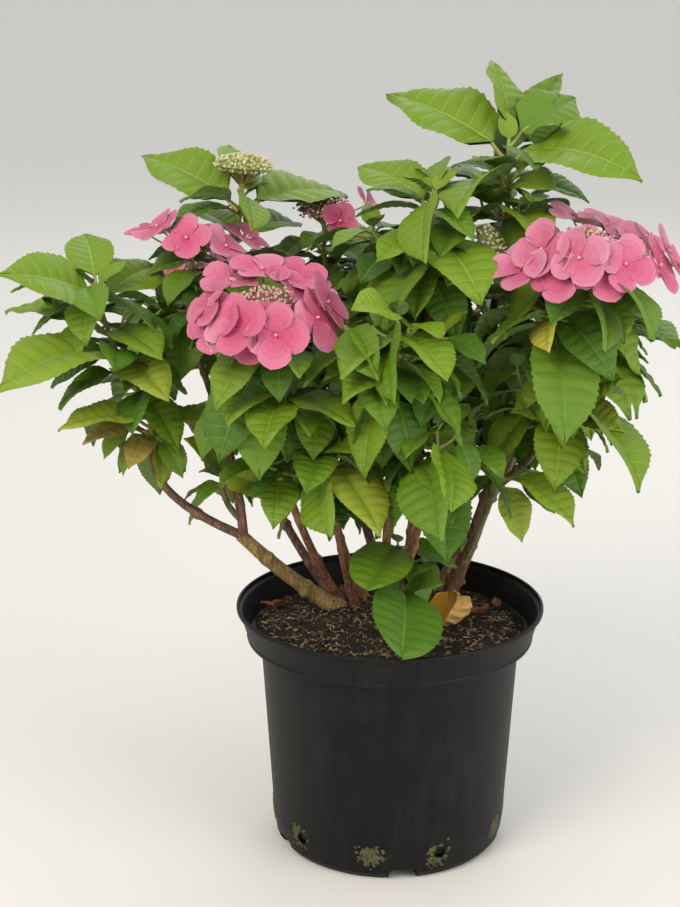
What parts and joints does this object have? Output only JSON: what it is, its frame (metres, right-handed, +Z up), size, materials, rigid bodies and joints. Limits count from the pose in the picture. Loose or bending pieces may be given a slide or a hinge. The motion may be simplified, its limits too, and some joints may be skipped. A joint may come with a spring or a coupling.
{
  "type": "potted hydrangea shrub",
  "caption": "Young lacecap hydrangea in flower: woody canes, broad serrated leaves in crossed pairs and flat pink flower heads, in a black nursery pot filled with compost.",
  "frame": {"origin": "centre of the pot's flat underside, where it meets the ground", "axes": "+Z up along the pot's axis; -Y towards the side with the most flowers, from which the plant is usually seen; +X to the viewer's right from there"},
  "size_m": [0.6028, 0.4586, 0.6969],
  "materials": {
    "pot": "moulded black plastic, dusty near the foot",
    "compost": "damp peat and bark compost",
    "bark": "matt brown bark",
    "foliage": "satin green leaf",
    "blossom": "soft pink petal",
    "withered": "dry leaf"
  },
  "bodies": {
    "root": {"pot": "pot", "compost": "compost", "cane_left": "bark", "bough_left_low": "bark", "bough_left_up": "bark", "bough_left_mid": "bark", "cane_thin": "bark", "cane_back_left": "bark", "cane_mid": "bark", "cane_centre": "bark", "cane_centre_high": "bark", "cane_centre_low": "bark", "cane_back": "bark", "cane_high": "bark", "cane_right": "bark", "bough_right_up": "bark", "bough_right_mid": "bark", "bough_right_low": "bark", "cane_back_right": "bark", "cane_low": "bark", "cane_inner_left": "bark", "cane_inner_right": "bark", "foliage_top_right": "foliage", "foliage_right_front": "foliage", "foliage_right_mid": "foliage", "foliage_right_low": "foliage", "foliage_left_front": "foliage", "foliage_left_back": "foliage", "foliage_far_left": "foliage", "foliage_left_mid": "foliage", "foliage_low": "foliage", "foliage_centre": "foliage", "foliage_centre_low": "foliage", "foliage_centre_high": "foliage", "foliage_foot": "foliage", "foliage_inner_left": "foliage", "foliage_inner_right": "foliage", "foliage_back_left": "foliage", "foliage_back": "foliage", "foliage_back_right": "foliage", "withered_leaf": "withered"}
  },
  "joints": []
}
